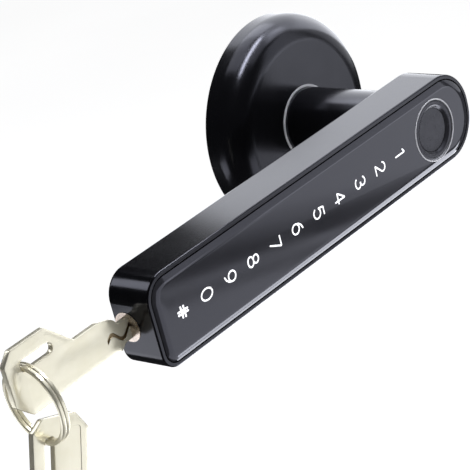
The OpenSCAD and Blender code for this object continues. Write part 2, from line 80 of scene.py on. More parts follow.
def new_piece(name, verts, faces, material, body, sharp=SHARP_ANGLE):
    """A piece with clean normals from points in millimetres and faces."""
    mesh = bpy.data.meshes.new(name)
    mesh.from_pydata([Vector(v) * MM for v in verts], [], faces)
    work = bmesh.new()
    work.from_mesh(mesh)
    bmesh.ops.remove_doubles(work, verts=work.verts, dist=WELD * MM)
    bmesh.ops.recalc_face_normals(work, faces=work.faces)
    return add_piece(mesh, work, material, body, sharp)


def finish_mesh(name, work, material, body, sharp=SHARP_ANGLE):
    """Turns a bmesh in millimetres into a piece with clean normals."""
    bmesh.ops.remove_doubles(work, verts=work.verts, dist=WELD)
    bmesh.ops.recalc_face_normals(work, faces=work.faces)
    bmesh.ops.scale(work, vec=(MM, MM, MM), verts=work.verts)
    return add_piece(bpy.data.meshes.new(name), work, material, body, sharp)


def arc(cx, cy, r, start, end, count, ry=None):
    """Points of an arc, angles in degrees."""
    ry = r if ry is None else ry
    out = []
    for i in range(count + 1):
        a = math.radians(start + (end - start) * i / count)
        out.append((cx + r * math.cos(a), cy + ry * math.sin(a)))
    return out


def skin(rings, closed_rings=True, loop=False):
    """Vertices and faces that join rings of equal length, one after another."""
    n = len(rings[0])
    verts = [p for ring in rings for p in ring]
    faces = []
    last = len(rings) if loop else len(rings) - 1
    for i in range(last):
        j = (i + 1) % len(rings)
        for k in range(n if closed_rings else n - 1):
            m = (k + 1) % n
            faces.append((i * n + k, i * n + m, j * n + m, j * n + k))
    return verts, faces


def lathe(name, profile, centre, material, body, loop=True, sharp=SHARP_ANGLE):
    """Turned piece about the Y axis; the profile is radius and y."""
    x, z = centre
    rings = []
    for r, y in profile:
        ring = []
        for k in range(TURNED_STEPS):
            angle = math.tau * k / TURNED_STEPS
            ring.append((x + r * math.cos(angle), y, z + r * math.sin(angle)))
        rings.append(ring)
    verts, faces = skin(rings, loop=loop)
    return new_piece(name, verts, faces, material, body, sharp)


def fill(work, loops):
    """Fills the flat region between vertex loops of a bmesh."""
    edges = []
    for loop in loops:
        for a, b in zip(loop, loop[1:] + loop[:1]):
            edge = work.edges.get((a, b))
            edges.append(edge if edge else work.edges.new((a, b)))
    bmesh.ops.triangle_fill(work, edges=edges, use_beauty=True)


def add_faces(work, verts, faces):
    """Adds points and faces to a bmesh and gives its new vertices."""
    made = [work.verts.new(v) for v in verts]
    for face in faces:
        work.faces.new([made[i] for i in face])
    return made


# ---- materials ----


class Shader:
    """Builds a node material from noise, grain, bump and edge wear."""

    def __init__(self, name, metallic=0.0, specular=0.5, tint=(1, 1, 1)):
        self.mat = bpy.data.materials.new(name)
        self.mat.use_nodes = True
        self.tree = self.mat.node_tree
        self.bsdf = self.tree.nodes["Principled BSDF"]
        self.bsdf.inputs["Metallic"].default_value = metallic
        self.bsdf.inputs["Specular IOR Level"].default_value = specular
        self.bsdf.inputs["Specular Tint"].default_value = (*tint, 1)
        self.coords = self.node("ShaderNodeTexCoord").outputs["Object"]
        self.height = None

    def node(self, kind, **values):
        """Adds a node and sets its properties."""
        made = self.tree.nodes.new(kind)
        for key, value in values.items():
            setattr(made, key, value)
        return made

    def link(self, a, b):
        self.tree.links.new(a, b)

    def noise(self, scale, detail, stretch=(1, 1, 1)):
        """Noise between 0 and 1 with features of about 1/scale metres."""
        place = self.node("ShaderNodeMapping")
        place.inputs["Scale"].default_value = stretch
        self.link(self.coords, place.inputs["Vector"])
        tex = self.node("ShaderNodeTexNoise")
        tex.inputs["Scale"].default_value = scale
        tex.inputs["Detail"].default_value = detail
        self.link(place.outputs["Vector"], tex.inputs["Vector"])
        return tex.outputs["Fac"]

    def spread(self, fac, low, high, start=0.3, end=0.7):
        """Maps noise to the range low to high."""
        made = self.node("ShaderNodeMapRange")
        made.inputs["From Min"].default_value = start
        made.inputs["From Max"].default_value = end
        made.inputs["To Min"].default_value = low
        made.inputs["To Max"].default_value = high
        self.link(fac, made.inputs["Value"])
        return made.outputs["Result"]

    def blend(self, fac, a, b):
        """Colour mix; a and b are colours or sockets."""
        made = self.node("ShaderNodeMix", data_type="RGBA")
        self.link(fac, made.inputs["Factor"])
        for value, socket in ((a, made.inputs["A"]), (b, made.inputs["B"])):
            if isinstance(value, tuple):
                socket.default_value = (*value, 1)
            else:
                self.link(value, socket)
        return made.outputs["Result"]

    def mottle(self, scale, detail, a, b):
        """Two colours that blend into each other in soft patches."""
        return self.blend(self.spread(self.noise(scale, detail), 0, 1), a, b)

    def edges(self, radius):
        """1 along sharp edges, 0 elsewhere, broken up by noise."""
        slight, full = 0.02, 0.25  # how far the softened normal leans where wear starts and where it is full
        soft = self.node("ShaderNodeBevel", samples=4)
        soft.inputs["Radius"].default_value = radius
        geo = self.node("ShaderNodeNewGeometry")
        dot = self.node("ShaderNodeVectorMath", operation="DOT_PRODUCT")
        self.link(soft.outputs["Normal"], dot.inputs[0])
        self.link(geo.outputs["Normal"], dot.inputs[1])
        mask = self.spread(dot.outputs["Value"], 1.0, 0.0, 1 - full, 1 - slight)
        broken = self.node("ShaderNodeMath", operation="MULTIPLY")
        self.link(mask, broken.inputs[0])
        self.link(self.spread(self.noise(400, 3), 0.0, 1.0, 0.42, 0.6), broken.inputs[1])
        return broken.outputs["Value"]

    def bump(self, fac, strength, distance):
        """Adds a bump layer on top of the ones before it."""
        made = self.node("ShaderNodeBump")
        made.inputs["Strength"].default_value = strength
        made.inputs["Distance"].default_value = distance
        self.link(fac, made.inputs["Height"])
        if self.height:
            self.link(self.height, made.inputs["Normal"])
        self.height = made.outputs["Normal"]

    def done(self, colour, rough):
        """Connects colour, roughness and bump, and gives the material."""
        for value, key in ((colour, "Base Color"), (rough, "Roughness")):
            socket = self.bsdf.inputs[key]
            if isinstance(value, tuple):
                socket.default_value = (*value, 1)
            elif isinstance(value, float):
                socket.default_value = value
            else:
                self.link(value, socket)
        if self.height:
            self.link(self.height, self.bsdf.inputs["Normal"])
        return self.mat


COOL = (0.84, 0.85, 1.0)  # tint of the dark surfaces' reflections


def black_coat(name, smooth, matt):
    """Satin black spray coat on die-cast metal: fine orange peel, dust nibs, rubbed edges."""
    look = Shader(name, specular=0.5, tint=COOL)
    colour = look.mottle(60, 3, (0.0022, 0.0022, 0.0027), (0.0034, 0.0034, 0.0041))
    colour = look.blend(look.edges(0.0004), colour, (0.035, 0.034, 0.036))
    rough = look.spread(look.noise(120, 5), smooth, matt)
    look.bump(look.noise(2600, 2), 0.03, 0.00002)
    look.bump(look.noise(420, 2), 0.02, 0.00004)
    return look.done(colour, rough)


def panel_glass():
    """Polished dark panel with faint wipe marks and finger smudges."""
    look = Shader("panel_glass", specular=0.5, tint=COOL)
    smudge = look.noise(38, 6, (1, 1, 2.4))
    colour = look.blend(look.spread(smudge, 0, 1), (0.026, 0.026, 0.031), (0.03, 0.03, 0.035))
    rough = look.spread(smudge, 0.05, 0.09)
    look.bump(look.noise(70, 2), 0.01, 0.00005)
    return look.done(colour, rough)


def sensor_face():
    """Hard satin lens of the fingerprint sensor, with a very fine etched grain."""
    look = Shader("sensor_face", specular=0.5, tint=COOL)
    colour = look.mottle(200, 4, (0.02, 0.02, 0.024), (0.026, 0.026, 0.03))
    rough = look.spread(look.noise(500, 4), 0.2, 0.3)
    look.bump(look.noise(5200, 1), 0.05, 0.00001)
    return look.done(colour, rough)


def light_pipe():
    """Frosted light guide with cloudy colour."""
    look = Shader("light_pipe", specular=0.5)
    colour = look.mottle(300, 4, (0.5, 0.5, 0.53), (0.62, 0.62, 0.65))
    rough = look.spread(look.noise(700, 3), 0.25, 0.4)
    look.bump(look.noise(3000, 2), 0.1, 0.00002)
    return look.done(colour, rough)


def digit_print():
    """White translucent print lit from behind."""
    look = Shader("digit_print", specular=0.3)
    colour = look.mottle(900, 4, (0.86, 0.87, 0.9), (0.95, 0.95, 0.96))
    look.link(colour, look.bsdf.inputs["Emission Color"])
    look.bsdf.inputs["Emission Strength"].default_value = 0.75
    look.bump(look.noise(6000, 1), 0.1, 0.00001)
    return look.done(colour, 0.5)


def metal(name, low, high, rough, grain, grain_dir, wear=None, specks=None, metallic=1.0):
    """Metal with directional grain, blotchy plating and bright or dark edges."""
    look = Shader(name, metallic=metallic)
    colour = look.mottle(150, 5, low, high)
    if specks:
        colour = look.blend(look.spread(look.noise(900, 6), 0, 1, 0.6, 0.75), colour, specks)
    if wear:
        colour = look.blend(look.edges(0.0003), colour, wear)
    lines = look.noise(grain, 4, grain_dir)
    roughness = look.spread(lines, rough[0], rough[1])
    look.bump(lines, 0.05, 0.00002)
    look.bump(look.noise(180, 2), 0.02, 0.00004)
    return look.done(colour, roughness)


def moulded(name, low, high, rough, grain=2200, height=0.15, specular=0.4):
    """Moulded plastic or rubber with a fine spark-eroded grain."""
    look = Shader(name, specular=specular)
    colour = look.mottle(140, 5, low, high)
    roughness = look.spread(look.noise(600, 3), rough[0], rough[1])
    look.bump(look.noise(grain, 3), height, 0.00004)
    return look.done(colour, roughness)


def circuit_green():
    """Solder mask over copper: tracks show as faint raised lines."""
    look = Shader("circuit_green", specular=0.5)
    cells = look.node("ShaderNodeTexVoronoi", distance="MANHATTAN", feature="F1")
    cells.inputs["Scale"].default_value = 260
    look.link(look.coords, cells.inputs["Vector"])
    tracks = look.spread(cells.outputs["Distance"], 0, 1, 0.45, 0.5)
    colour = look.blend(tracks, (0.008, 0.06, 0.028), (0.014, 0.12, 0.05))
    look.bump(tracks, 0.3, 0.00003)
    return look.done(colour, look.spread(look.noise(300, 3), 0.3, 0.42))


MATERIALS = {
    "black_coat": black_coat("black_coat", 0.19, 0.23),
    "panel_glass": panel_glass(),
    "sensor_face": sensor_face(),
    "light_pipe": light_pipe(),
    "circuit_green": circuit_green(),
    "seal_ring": moulded("seal_ring", (0.42, 0.42, 0.44), (0.5, 0.5, 0.52), (0.45, 0.6)),
    "plated_steel": metal(
        "plated_steel",
        (0.52, 0.53, 0.55),
        (0.66, 0.66, 0.66),
        (0.25, 0.45),
        700,
        (1, 1, 1),
        specks=(0.45, 0.47, 0.5),
    ),
    "spring_steel": metal("spring_steel", (0.38, 0.37, 0.36), (0.5, 0.5, 0.5), (0.2, 0.35), 1800, (1, 1, 1)),
    "hard_steel": metal(
        "hard_steel",
        (0.45, 0.45, 0.46),
        (0.58, 0.58, 0.6),
        (0.18, 0.34),
        2600,
        (1, 0.08, 1),
        wear=(0.75, 0.75, 0.76),
    ),
    "screw_steel": metal(
        "screw_steel",
        (0.06, 0.06, 0.065),
        (0.11, 0.11, 0.11),
        (0.3, 0.45),
        1200,
        (1, 1, 1),
    ),
    "cylinder_nickel": metal(
        "cylinder_nickel",
        (0.66, 0.55, 0.47),
        (0.78, 0.68, 0.6),
        (0.22, 0.36),
        1600,
        (8, 1, 1),
        wear=(0.9, 0.84, 0.78),
    ),
    "brass": metal(
        "brass",
        (0.55, 0.37, 0.13),
        (0.68, 0.5, 0.22),
        (0.24, 0.4),
        1500,
        (1, 1, 6),
        wear=(0.85, 0.7, 0.4),
    ),
    "key_track": metal("key_track", (0.3, 0.22, 0.12), (0.46, 0.36, 0.22), (0.35, 0.5), 900, (0.5, 1, 1)),
    "key_nickel": metal(
        "key_nickel",
        (0.8, 0.755, 0.59),
        (0.86, 0.815, 0.66),
        (0.2, 0.27),
        400,
        (0.5, 1, 1.5),
        wear=(0.9, 0.88, 0.8),
        metallic=0.55,
    ),
    "soft_rubber": moulded(
        "soft_rubber",
        (0.012, 0.012, 0.012),
        (0.022, 0.022, 0.022),
        (0.6, 0.75),
        grain=3000,
        height=0.2,
    ),
    "bearing_plastic": moulded("bearing_plastic", (0.62, 0.6, 0.54), (0.72, 0.7, 0.64), (0.4, 0.55)),
    "chip_black": moulded("chip_black", (0.012, 0.012, 0.013), (0.02, 0.02, 0.02), (0.45, 0.6), 4000, 0.2),
}
PRINT = digit_print()

for row in frame["record"]["subparts"]:
    node = frame["nodes"][row["node"]]
    node.data.materials.clear()
    node.data.materials.append(MATERIALS[row["material_slot"]])
# the lever is polished a little finer than the rose before it is coated
frame["nodes"]["lever_body"].data.materials[0] = black_coat("lever_coat", 0.15, 0.18)


# ---- touch panel ----

panel_lo, panel_hi = box_mm("touch_panel")
ring_lo, ring_hi = box_mm("light_ring")
SENSOR = ((ring_lo.x + ring_hi.x) / 2, (ring_lo.z + ring_hi.z) / 2)
RING_R = (ring_hi.x - ring_lo.x) / 2
PANEL_HALF = (panel_hi.z - panel_lo.z) / 2
# corner radii of the panel: key end above and below, and the sensor end
KEY_TOP_R, KEY_LOW_R, SENSOR_R = 5.65, 3.65, 10.75
CORNER_STEPS, ROUND_STEPS, SIDE_STEPS = 20, 32, 24
PANEL_RISE, PANEL_SLOPE = 0.6, 2.4  # height and width of the panel's sloping edge
PANEL_SHARP = 20  # sharp angle of its edges, degrees


def panel_ring(d, y):
    """The panel's outline set in by d, from the key end's lower corner round."""
    x0, x1, h = panel_lo.x + d, panel_hi.x - d, PANEL_HALF - d
    low, top, rs = KEY_LOW_R - d, KEY_TOP_R - d, SENSOR_R - d
    out = arc(x0 + low, -h + low, low, 180, 270, CORNER_STEPS)
    out += [(x0 + low + (x1 - rs - x0 - low) * k / SIDE_STEPS, -h) for k in range(1, SIDE_STEPS)]
    out += arc(x1 - rs, -h + rs, rs, 270, 360, ROUND_STEPS)
    out += arc(x1 - rs, h - rs, rs, 0, 90, ROUND_STEPS)
    out += [(x1 - rs + (x0 + top - x1 + rs) * k / SIDE_STEPS, h) for k in range(1, SIDE_STEPS)]
    out += arc(x0 + top, h - top, top, 90, 180, CORNER_STEPS)
    return [(x, y, z) for x, z in out]


def panel_profile(front, back):
    """The panel's edge from its back to its face, as inset and y."""
    chamfer = 0.2
    corner = 0.06
    start = 0.03  # inset where the slope begins
    steps = 14
    out = [(chamfer, back), (corner, back - corner), (0, back - chamfer), (0, front + PANEL_RISE + corner)]
    for i in range(steps + 1):
        t = i / steps
        fall = 1 - math.sin(math.pi / 2 * t) ** 0.9
        out.append((start + (PANEL_SLOPE - start) * t, front + PANEL_RISE * fall))
    return out


def make_panel():
    """Glossy panel with a softly sloping edge and a round hole for the light ring."""
    front, back = panel_lo.y, panel_hi.y
    rings = [panel_ring(d, y) for d, y in panel_profile(front, back)]
    verts, faces = skin(rings)
    work = bmesh.new()
    made = add_faces(work, verts, faces)
    n = len(rings[0])
    work.faces.new(made[-n:])
    work.faces.new(made[:n][::-1])
    glass = MATERIALS["panel_glass"]
    piece = finish_mesh("touch_panel_glass", work, glass, "lever", PANEL_SHARP)
    # the hole for the light ring
    gap = 0.05
    past = 2  # the cutter stands out this far on both faces
    count = TURNED_STEPS
    points = arc(SENSOR[0], SENSOR[1], RING_R + gap, 0, 360, count)[:-1]
    verts, faces = skin([[(x, y, z) for x, z in points] for y in (front - past, back + past)])
    faces += [tuple(range(count)), tuple(range(count, 2 * count))]
    cutter = new_piece("cutter", verts, faces, glass, "lever")
    cut = piece.modifiers.new("hole", "BOOLEAN")
    cut.object = cutter
    cut.solver = "EXACT"
    bpy.context.view_layer.update()
    shape = piece.evaluated_get(bpy.context.evaluated_depsgraph_get())
    piece.data = bpy.data.meshes.new_from_object(shape)
    piece.modifiers.clear()
    bpy.data.objects.remove(cutter)
    piece.data.set_sharp_from_angle(angle=math.radians(PANEL_SHARP))
    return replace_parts(piece, "touch_panel")


make_panel()


# ---- fingerprint sensor ----

LENS_R = 6.4
SENSOR_BODY_R = 7.45  # the sensor's body behind its lens
PROUD = 0.04  # how far the bezel and the walls of the light ring stand out of the panel


def make_sensor():
    """Dished bezel, light ring round it, and the sensor's lens."""
    front = panel_lo.y
    face_lo, face_hi = box_mm("fingerprint_sensor")
    r = LENS_R
    deep = face_lo.y
    rim = RING_R - 0.47
    dish = [(rim, front + 2.0), (rim, front + 0.02), (rim - 0.08, front - PROUD), (r + 1.15, front - PROUD)]
    dish += [(r + 0.85, front + 0.02), (r + 0.55, front + 0.25), (r + 0.25, deep - 0.15), (r + 0.06, deep)]
    dish += [(r + 0.06, front + 2.0)]
    bezel = lathe("sensor_dish", dish, SENSOR, MATERIALS["sensor_face"], "lever", sharp=50)
    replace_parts(bezel, "sensor_bezel")

    inner, outer = RING_R - 0.39, RING_R - 0.01
    corner = 0.06
    glow = [(inner, front + 1.8), (inner, front - PROUD), (inner + corner, front - PROUD - corner)]
    glow += [(outer - corner, front - PROUD - corner), (outer, front - PROUD), (outer, front + 1.8)]
    ring = lathe("sensor_light_ring", glow, SENSOR, MATERIALS["light_pipe"], "lever")
    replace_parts(ring, "light_ring")

    lens = [(0, deep + 0.05), (r - 2, deep + 0.03), (r - 0.6, deep), (r - 0.1, deep + 0.02), (r, deep + 0.15)]
    lens += [(r, front + 2.6), (SENSOR_BODY_R, front + 2.7), (SENSOR_BODY_R, face_hi.y), (0, face_hi.y)]
    cap = lathe("sensor_lens", lens, SENSOR, MATERIALS["sensor_face"], "lever", loop=False)
    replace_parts(cap, "fingerprint_sensor")


make_sensor()


# ---- digits ----

# strokes of each sign in millimetres, upright, with its middle at the origin
GLYPHS = {
    "1": [[(-0.75, 1.35), (0.25, 2.1), (0.25, -2.1)]],
    "2": [arc(0, 0.95, 1.3, 165, -38, 18, 1.15) + [(-1.35, -2.1), (1.45, -2.1)]],
    "3": [
        arc(-0.05, 1.05, 1.2, 155, -85, 18, 1.05),
        arc(-0.05, -0.98, 1.45, 85, -155, 20, 1.12),
    ],
    "4": [[(0.7, -2.1), (0.7, 2.1), (-1.5, -0.85), (1.5, -0.85)]],
    "5": [[(1.25, 2.1), (-0.95, 2.1), (-1.2, 0.2)] + arc(-0.05, -0.72, 1.45, 138, -150, 22, 1.4)],
    "6": [arc(0, -0.72, 1.4, 0, 360, 32), [(-1.38, -0.55), (-1.05, 0.75), (-0.3, 1.6), (0.75, 2.1)]],
    "7": [[(-1.45, 2.1), (1.4, 2.1), (-0.45, -2.1)]],
    "8": [arc(0, 1.08, 1.15, 0, 360, 28, 1.02), arc(0, -1.02, 1.42, 0, 360, 32, 1.1)],
    "9": [arc(0, 0.72, 1.4, 0, 360, 32), [(1.38, 0.55), (1.05, -0.75), (0.3, -1.6), (-0.75, -2.1)]],
    "0": [arc(0, 0, 1.55, 0, 360, 40, 2.12)],
    "hash": [
        [(-0.45, -1.75), (-0.25, 1.75)],
        [(0.35, -1.75), (0.55, 1.75)],
        [(-1.5, -0.55), (1.45, -0.45)],
        [(-1.4, 0.5), (1.55, 0.6)],
    ],
}
DIGIT_PITCH = 9.54
FIRST_DIGIT = -16.14  # x of the digit 1
DIGIT_ROW = -0.1  # z of the row's middle


def rounded(points, cut=0.35, count=4):
    """Rounds the corners of an open line with short curves."""
    out = [Vector(points[0])]
    for a, b, c in zip(points, points[1:], points[2:]):
        a, b, c = Vector(a), Vector(b), Vector(c)
        before = (a - b).normalized()
        after = (c - b).normalized()
        if before.dot(after) < -0.9:
            out.append(b)
            continue
        d = min(cut, (a - b).length / 2, (c - b).length / 2)
        start, end = b + before * d, b + after * d
        for i in range(count + 1):
            t = i / count
            out.append(start * (1 - t) ** 2 + b * 2 * t * (1 - t) + end * t * t)
    out.append(Vector(points[-1]))
    return out


# section of a stroke: sideways in half widths, and height as a share of its thickness
RIBBON = ((-1, 0), (-1, 0.6), (-0.8, 1), (0.8, 1), (1, 0.6), (1, 0))


def round_end(row, sign, width):
    """Rows that narrow in a quarter circle beyond one end of a stroke."""
    middle, side = row[:2]
    out = Vector((side.y, -side.x)) * sign
    steps = 4
    caps = []
    for j in range(1, steps + 1):
        a = math.radians(90 * j / steps)
        caps.append((middle + out * width * math.sin(a), side, max(width * math.cos(a), 0.01)))
    return caps


def stroke(work, points, width, level, place):
    """A flat ribbon with round ends and softened sides along a line."""
    closed = (Vector(points[0]) - Vector(points[-1])).length < SAME_POINT
    line = [Vector(p) for p in points[:-1]] if closed else rounded(points)
    n = len(line)
    rows = []
    for i in range(n):
        a = line[(i - 1) % n] if closed or i else line[0]
        b = line[(i + 1) % n] if closed or i < n - 1 else line[-1]
        t = (b - a).normalized()
        side = Vector((-t.y, t.x))
        rows.append((line[i], side, width))
    if not closed:
        rows = round_end(rows[0], -1, width)[::-1] + rows + round_end(rows[-1], 1, width)
    rings = []
    for p, side, w in rows:
        ring = []
        for across, h in RIBBON:
            q = p + side * w * across
            ring.append(place(q.x, q.y, h * level))
        rings.append(ring)
    verts, faces = skin(rings, closed_rings=False, loop=closed)
    made = add_faces(work, verts, faces)
    if not closed:
        n = len(RIBBON)
        for ring in (made[:n], made[-n:]):
            work.faces.new(ring)


def make_digits():
    """One row of printed signs that read along the lever."""
    work = bmesh.new()
    lift = 0.002  # gap between print and panel
    thick = 0.03
    more = 0.003  # each further stroke of a sign is this much thicker, so that crossings don't flicker
    for i, name in enumerate(GLYPHS):
        middle = FIRST_DIGIT - DIGIT_PITCH * i
        half_width = 0.3 if name == "hash" else 0.24

        def place(u, v, h, middle=middle):
            return (middle + v, panel_lo.y - lift - h, -u + DIGIT_ROW)

        for j, points in enumerate(GLYPHS[name]):
            stroke(work, points, half_width, thick + more * j, place)
    return finish_mesh("panel_digits", work, PRINT, "lever", 60)


make_digits()


# ---- keys ----

# the same outline as the CAD's keys: u runs into the plug from its face, v upwards
BLADE_HALF, BLADE_IN, KEY_T = 2.9, 20.5, 1.75
SHANK_LEN, SHANK_TOP, SHANK_LOW = 18.4, 6.5, -4.4
BOW_TOP, KEY_END = 14.25, 41.3
SLOT_END, SLOT_LOW, SLOT_LEN, SLOT_W = 36.6, 7.25, 11.2, 3.0
SLOT_CORNER = 0.8
# wavy track: where it starts, and its half width, depth, wave height and steps
TRACK_U, TRACK_HALF, TRACK_DEPTH, TRACK_WAVE = -8.5, 0.65, 0.4, 1.3
TRACK_STEP, TRACK_STEPS, TRACK_STEP_ANGLE = 0.3, 90, 15
# shallow channel on one face
CHANNEL_U, CHANNEL_LOW, CHANNEL_TOP, CHANNEL_DEPTH = -6.0, -1.7, 2.3, 0.15
EDGE_BREAK = 0.14  # bevel round the key
BREAK_BEND = EDGE_BREAK * 0.3  # where that bevel bends, so that it looks round
LIP = 0.05  # bevel round the track and the channel
WALL_LEAN = 0.3  # how far the walls of the track and the channel lean in, for each unit of depth
KEY_CORNER, CHANNEL_CORNER = 0.5, 1.2  # rounding of the outline's and the channel's corners


def key_outline():
    """Outline of the key: blade along +u, v upwards."""
    h = BLADE_HALF
    return [
        (BLADE_IN - 1.6, h),
        (BLADE_IN, h - 1.8),
        (BLADE_IN, -h + 1.8),
        (BLADE_IN - 1.6, -h),
        (-2.6, -h),
        (-4.6, SHANK_LOW),
        (-KEY_END + 4.6, SHANK_LOW),
        (-KEY_END, SHANK_LOW + 4.4),
        (-KEY_END, BOW_TOP - 3.1),
        (-KEY_END + 3.1, BOW_TOP),
        (-KEY_END + 15, BOW_TOP),
        (-SHANK_LEN, SHANK_TOP),
        (-10, SHANK_TOP),
        (-6.8, SHANK_TOP - 0.7),
        (-4.8, SHANK_TOP - 1.7),
        (-3.4, h),
        (0, h),
    ]


def slot_outline():
    """Slot in the bow, squarer at the end where the ring hangs."""
    c = SLOT_CORNER
    u, v = -SLOT_END, SLOT_LOW
    out = arc(u + c, v + c, c, 180, 270, 6)
    r = SLOT_W / 2
    out += arc(u + SLOT_LEN - r, v + r, r, 270, 450, 24)
    out += arc(u + c, v + SLOT_W - c, c, 90, 180, 6)
    return out


def soften(points, r):
    """Rounds every corner of a closed outline by about r."""
    out = []
    n = len(points)
    for i in range(n):
        a, b, c = Vector(points[i - 1]), Vector(points[i]), Vector(points[(i + 1) % n])
        d = min(r, (a - b).length * 0.4, (c - b).length * 0.4)
        start = b + (a - b).normalized() * d
        end = b + (c - b).normalized() * d
        for j in range(5):
            t = j / 4
            out.append(tuple(start * (1 - t) ** 2 + b * 2 * t * (1 - t) + end * t * t))
    return out


def moved_in(points, d):
    """Closed outline moved to its left by d."""
    out = []
    n = len(points)
    for i in range(n):
        a, b, c = Vector(points[i - 1]), Vector(points[i]), Vector(points[(i + 1) % n])
        t0, t1 = (b - a).normalized(), (c - b).normalized()
        side = Vector((-t0.y - t1.y, t0.x + t1.x))
        if side.length < SAME_POINT:
            side = Vector((-t1.y, t1.x))
        side.normalize()
        grow = max(side.dot(Vector((-t1.y, t1.x))), 0.5)
        out.append(tuple(b + side * d / grow))
    return out


def area(points):
    """Area of a closed outline, above 0 when it runs anticlockwise."""
    return sum(a[0] * b[1] - b[0] * a[1] for a, b in zip(points, points[1:] + points[:1])) / 2


def track_outline(first):
    """Wavy track, from its step number first to its far end."""
    line = []
    for i in range(first, TRACK_STEPS + 1):
        wave = math.sin(math.radians(i * TRACK_STEP_ANGLE))
        line.append((TRACK_U + TRACK_STEP * i, TRACK_WAVE * wave))
    return [(u, v + TRACK_HALF) for u, v in line] + [(u, v - TRACK_HALF) for u, v in reversed(line)]


def channel_outline():
    """Shallow channel that stops short of the bow's end."""
    end = -KEY_END + 3.5
    return [(end, CHANNEL_LOW), (CHANNEL_U, CHANNEL_LOW), (CHANNEL_U, CHANNEL_TOP), (end, CHANNEL_TOP)]


def make_key(name, node, body, place):
    """Flat key: bevelled plate with a slot, a milled track each side and a channel on one face."""
    work = bmesh.new()

    def loop(points, y):
        return [work.verts.new(place(u, y, v)) for u, v in points]

    def wall(a, b):
        for k in range(len(a)):
            m = (k + 1) % len(a)
            work.faces.new((a[k], a[m], b[m], b[k]))

    half = KEY_T / 2
    outer = soften(key_outline(), KEY_CORNER)
    if area(outer) < 0:
        outer = outer[::-1]
    slot = slot_outline()
    if area(slot) > 0:
        slot = slot[::-1]
    faces = {-1: [], 1: []}
    for points in (outer, slot):
        inner = moved_in(points, EDGE_BREAK)
        mid = moved_in(points, BREAK_BEND)
        levels = [
            (inner, -half),
            (mid, -half + BREAK_BEND),
            (points, -half + EDGE_BREAK),
            (points, half - EDGE_BREAK),
            (mid, half - BREAK_BEND),
            (inner, half),
        ]
        loops = [loop(p, y) for p, y in levels]
        for a, b in zip(loops, loops[1:]):
            wall(a, b)
        faces[-1].append(loops[0])
        faces[1].append(loops[-1])
    # pockets: outline, depth and material slot; beside the channel the track starts just past it
    past_channel = 10  # the track's step number there
    plain, brown = 0, 1
    for side in (-1, 1):
        pockets = [(track_outline(0 if side == -1 else past_channel), TRACK_DEPTH, brown)]
        if side == 1:
            pockets.append((soften(channel_outline(), CHANNEL_CORNER), CHANNEL_DEPTH, plain))
        for points, depth, index in pockets:
            if area(points) > 0:
                points = points[::-1]
            top = loop(points, side * half)
            shoulder = loop(moved_in(points, -LIP), side * (half - LIP))
            floor = loop(moved_in(points, -LIP - WALL_LEAN * depth), side * (half - depth))
            wall(top, shoulder)
            before = set(work.faces)
            wall(shoulder, floor)
            fill(work, [floor])
            for face in set(work.faces) - before:
                face.material_index = index
            faces[side].append(top)
        fill(work, faces[side])
    piece = finish_mesh(name, work, MATERIALS["key_nickel"], body, 30)
    piece.data.materials.append(MATERIALS["key_track"])
    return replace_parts(piece, node)


FACE_STEP = 0.15  # the cylinder's face stands this far out past the key's zero
cyl_lo, cyl_hi = box_mm("cylinder_housing")
KEY_Y = (cyl_lo.y + cyl_hi.y) / 2
KEY_Z = (cyl_lo.z + cyl_hi.z) / 2
KEY_X = cyl_lo.x + FACE_STEP
coil_lo, coil_hi = box_mm("split_ring")
COIL_X = (coil_lo.x + coil_hi.x) / 2
COIL_Y = (coil_lo.y + coil_hi.y) / 2
COIL_Z = (coil_lo.z + coil_hi.z) / 2
COIL_R = (coil_hi.z - coil_lo.z) / 2
WIRE_R = 0.6
SPARE_Z = COIL_Z - COIL_R + WIRE_R
SPARE_HANG = SLOT_END - 1.15  # from the key's zero to the wire that the spare key hangs on
SPARE_TILT = math.radians(19)


def key_place(u, y, v):
    """The working key in the plug."""
    return (KEY_X + u, KEY_Y + y, KEY_Z + v)


def spare_place(u, y, v):
    """The spare key, hanging from the ring's lowest point and a little tilted."""
    u, y, v = u + SPARE_HANG, -y, -(v - SLOT_LOW - SLOT_W / 2)
    a = math.pi / 2 + SPARE_TILT
    x = COIL_X + u * math.cos(a) + v * math.sin(a)
    z = SPARE_Z - u * math.sin(a) + v * math.cos(a)
    return (x, KEY_Y + y, z)


make_key("working_key", "key", "working_key", key_place)
make_key("hanging_spare_key", "spare_key", "hanging_key", spare_place)


# ---- split ring ----

RING_YAW = math.radians(-5)  # it hangs a little turned in the slot


